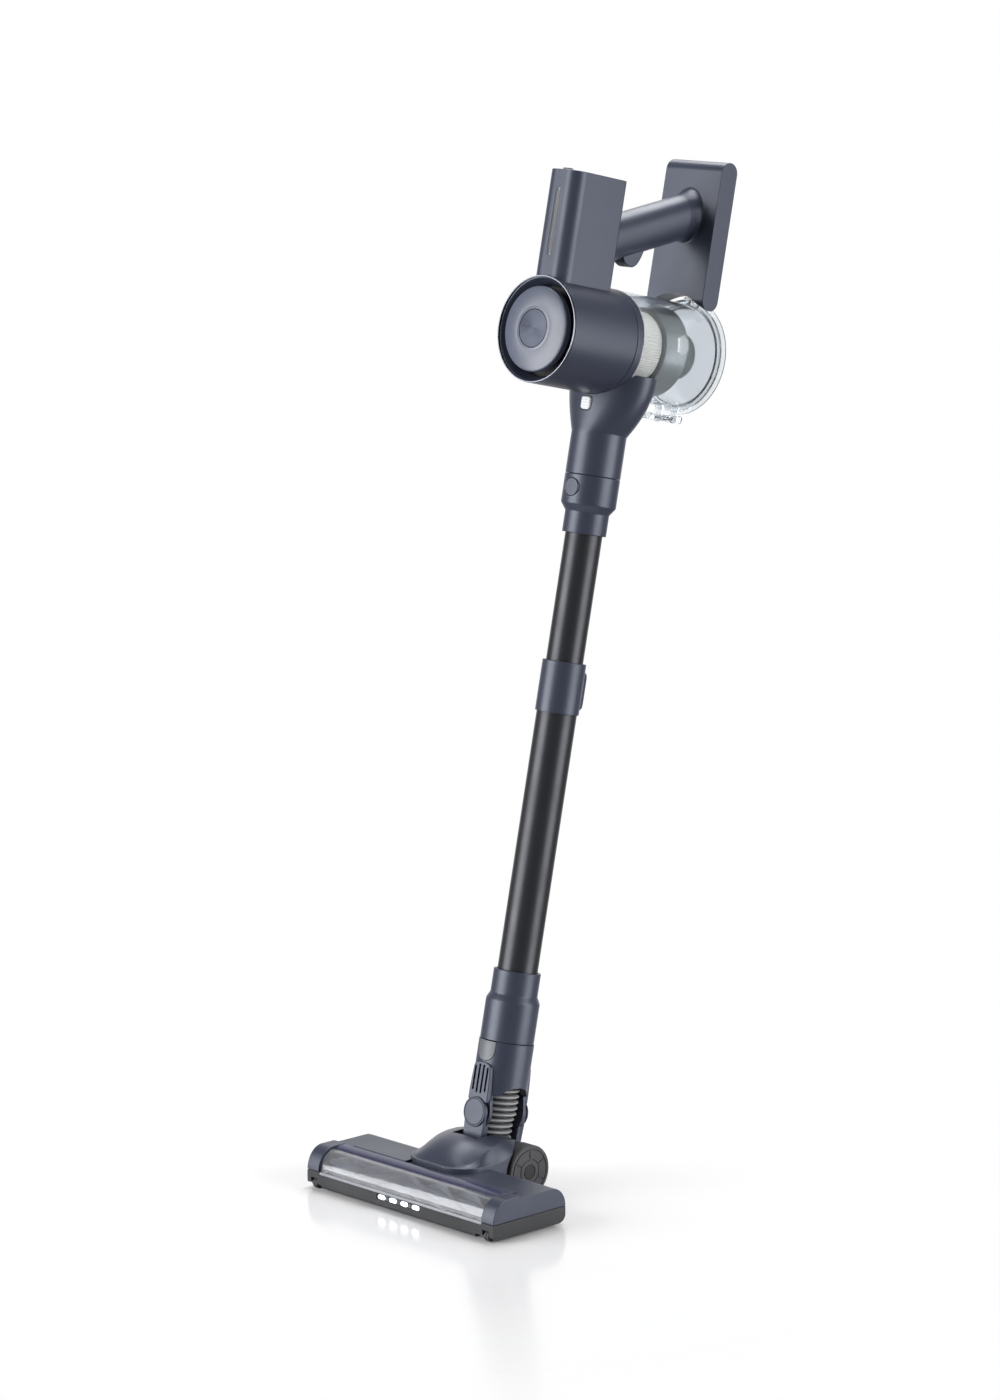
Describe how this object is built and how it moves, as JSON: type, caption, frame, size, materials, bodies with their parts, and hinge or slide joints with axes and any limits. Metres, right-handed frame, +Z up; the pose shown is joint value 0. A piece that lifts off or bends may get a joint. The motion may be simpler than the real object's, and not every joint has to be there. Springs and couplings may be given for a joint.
{
  "type": "cordless stick vacuum",
  "caption": "Cordless stick vacuum with a side-lying motor barrel, clear dust cup, rear battery, telescopic wand and motorised floor head with a tilting neck.",
  "frame": {"origin": "on the floor under the middle of the floor head", "axes": "+X to the right along the floor head, -Y forwards, +Z up"},
  "size_m": [0.25, 0.3998, 0.9403],
  "materials": {
    "shell": "satin dark blue-grey",
    "frame": "fine matt grain",
    "tube": "dark anodised",
    "button": "satin mid grey",
    "release": "satin light grey",
    "silver": "bright trim",
    "grille": "perforated",
    "dark": "black moulding",
    "clear": "clear polycarbonate",
    "shroud": "fine perforated sheet",
    "hub": "satin grey",
    "filter": "pleated paper",
    "hose": "corrugated",
    "wheel": "ridged tread",
    "brush": "nylon bristle",
    "rubber": "moulded",
    "metal": "machined",
    "steel": "turned",
    "board": "solder mask",
    "cell": "wrapped cells",
    "light": "lamp strip"
  },
  "bodies": {
    "handheld": {"barrel_shell": "shell", "trim_ring": "silver", "rear_ring": "shell", "exhaust_filter": "filter", "motor_mount": "dark", "suction_motor": "metal", "tower_shell": "shell", "tower_cap": "shell", "vent_grille": "grille", "control_board": "board", "handle_grip": "shell", "battery_housing": "shell", "neck_inlet": "shell"},
    "rotor": {"impeller": "metal"},
    "exhaust_lid": {"exhaust_cover": "shell"},
    "mode_key": {"mode_button": "button"},
    "trigger_lever": {"trigger": "shell"},
    "battery": {"battery_pack": "shell", "battery_cells": "cell"},
    "battery_key": {"battery_latch": "button"},
    "cup": {"dust_cup": "clear", "filter_core": "filter", "cyclone_shroud": "shroud", "cyclone_hub": "hub"},
    "lid": {"cup_lid": "clear", "lid_seal": "rubber"},
    "lid_lever": {"lid_latch": "clear"},
    "cup_key": {"cup_release_button": "release"},
    "wand_upper": {"wand_connector": "shell", "upper_tube": "tube", "tube_guide": "dark"},
    "wand_key": {"wand_release_button": "button"},
    "wand_lower": {"lower_tube": "tube", "telescope_collar": "shell", "wand_foot_collar": "shell"},
    "telescope_key": {"telescope_button": "button"},
    "neck": {"head_neck": "shell", "pivot_cap_front": "shell", "pivot_cap_rear": "shell"},
    "neck_key": {"head_release_button": "button"},
    "yoke_joint": {"yoke": "shell", "flexible_hose": "hose"},
    "head": {"head_shell": "shell", "head_base": "frame", "dome_cover": "shell", "brush_window": "clear", "window_rail": "clear", "led_bar": "light", "end_cap_left": "shell", "end_cap_right": "shell", "brush_motor": "metal", "drive_belt": "rubber", "axle_left": "steel", "axle_right": "steel"},
    "brush": {"brush_roll": "brush"},
    "pulley": {"motor_pulley": "metal"},
    "left_wheel": {"wheel_left": "wheel"},
    "right_wheel": {"wheel_right": "wheel"},
    "left_roller": {"roller_left": "wheel"},
    "right_roller": {"roller_right": "wheel"}
  },
  "joints": [
    {"name": "impeller_spin", "type": "hinge", "parent": "handheld", "child": "rotor", "pos_m": [0, 0.20778, 0.77991], "axis": [0, 0.9781, -0.2079], "continuous": true},
    {"name": "exhaust_cover_twist", "type": "hinge", "parent": "handheld", "child": "exhaust_lid", "pos_m": [0, 0.12953, 0.79654], "axis": [0, 0.9781, -0.2079], "range_deg": [0, 25]},
    {"name": "mode_press", "type": "slide", "parent": "handheld", "child": "mode_key", "axis": [0, -0.2079, -0.9781], "range_m": [0, 0.0012], "stiffness_N_per_m": 400},
    {"name": "trigger_pull", "type": "hinge", "parent": "handheld", "child": "trigger_lever", "pos_m": [0, 0.23628, 0.8611], "axis": [1, 0, 0], "range_deg": [0, 10], "stiffness_Nm_per_rad": 0.4},
    {"name": "battery_slide", "type": "slide", "parent": "handheld", "child": "battery", "axis": [0, 0.9781, -0.2079], "range_m": [0, 0.04]},
    {"name": "battery_latch_press", "type": "slide", "parent": "battery", "child": "battery_key", "axis": [0, -0.9781, 0.2079], "range_m": [0, 0.0015], "stiffness_N_per_m": 400},
    {"name": "cup_slide", "type": "slide", "parent": "handheld", "child": "cup", "axis": [0, 0.9781, -0.2079], "range_m": [0, 0.06]},
    {"name": "lid_open", "type": "hinge", "parent": "cup", "child": "lid", "pos_m": [0, 0.33396, 0.8084], "axis": [1, 0, 0], "range_deg": [0, 85]},
    {"name": "lid_latch_rock", "type": "hinge", "parent": "cup", "child": "lid_lever", "pos_m": [0, 0.29716, 0.70019], "axis": [-1, 0, 0], "range_deg": [0, 6], "stiffness_Nm_per_rad": 1},
    {"name": "cup_release_press", "type": "slide", "parent": "handheld", "child": "cup_key", "axis": [0, 0.9781, -0.2079], "range_m": [0, 0.0025], "stiffness_N_per_m": 400},
    {"name": "wand_pull", "type": "slide", "parent": "handheld", "child": "wand_upper", "axis": [0, -0.2079, -0.9781], "range_m": [0, 0.045]},
    {"name": "wand_release_press", "type": "slide", "parent": "wand_upper", "child": "wand_key", "axis": [0, 0.9781, -0.2079], "range_m": [0, 0.0025], "stiffness_N_per_m": 400},
    {"name": "telescope", "type": "slide", "parent": "wand_upper", "child": "wand_lower", "axis": [0, -0.2079, -0.9781], "range_m": [-0.115, 0.12]},
    {"name": "telescope_lock_press", "type": "slide", "parent": "wand_lower", "child": "telescope_key", "axis": [0, -0.9781, 0.2079], "range_m": [0, 0.0025], "stiffness_N_per_m": 400},
    {"name": "head_pull", "type": "slide", "parent": "wand_lower", "child": "neck", "axis": [0, -0.2079, -0.9781], "range_m": [0, 0.04]},
    {"name": "head_release_press", "type": "slide", "parent": "neck", "child": "neck_key", "axis": [0, 0.9781, -0.2079], "range_m": [0, 0.002], "stiffness_N_per_m": 400},
    {"name": "tilt", "type": "hinge", "parent": "neck", "child": "yoke_joint", "pos_m": [0, 0.078, 0.07315], "axis": [0, 0.9781, -0.2079], "range_deg": [-45, 45], "deforming": ["flexible_hose"]},
    {"name": "pitch", "type": "hinge", "parent": "yoke_joint", "child": "head", "pos_m": [0, 0.078, 0.025], "axis": [1, 0, 0], "range_deg": [-12, 60]},
    {"name": "brush_spin", "type": "hinge", "parent": "head", "child": "brush", "pos_m": [0, -0.0255, 0.018], "axis": [1, 0, 0], "continuous": true},
    {"name": "motor_pulley_spin", "type": "hinge", "parent": "head", "child": "pulley", "pos_m": [-0.1045, 0.01, 0.0155], "axis": [1, 0, 0], "continuous": true},
    {"name": "wheel_left_spin", "type": "hinge", "parent": "head", "child": "left_wheel", "pos_m": [0, 0.078, 0.025], "axis": [1, 0, 0], "continuous": true},
    {"name": "wheel_right_spin", "type": "hinge", "parent": "head", "child": "right_wheel", "pos_m": [0, 0.078, 0.025], "axis": [1, 0, 0], "continuous": true},
    {"name": "roller_left_spin", "type": "hinge", "parent": "head", "child": "left_roller", "pos_m": [-0.115, -0.04, 0.005], "axis": [1, 0, 0], "continuous": true},
    {"name": "roller_right_spin", "type": "hinge", "parent": "head", "child": "right_roller", "pos_m": [0.115, -0.04, 0.005], "axis": [1, 0, 0], "continuous": true}
  ],
  "couplings": [
    {"joint": "motor_pulley_spin", "follows": "brush_spin", "ratio": 2.3889}
  ]
}
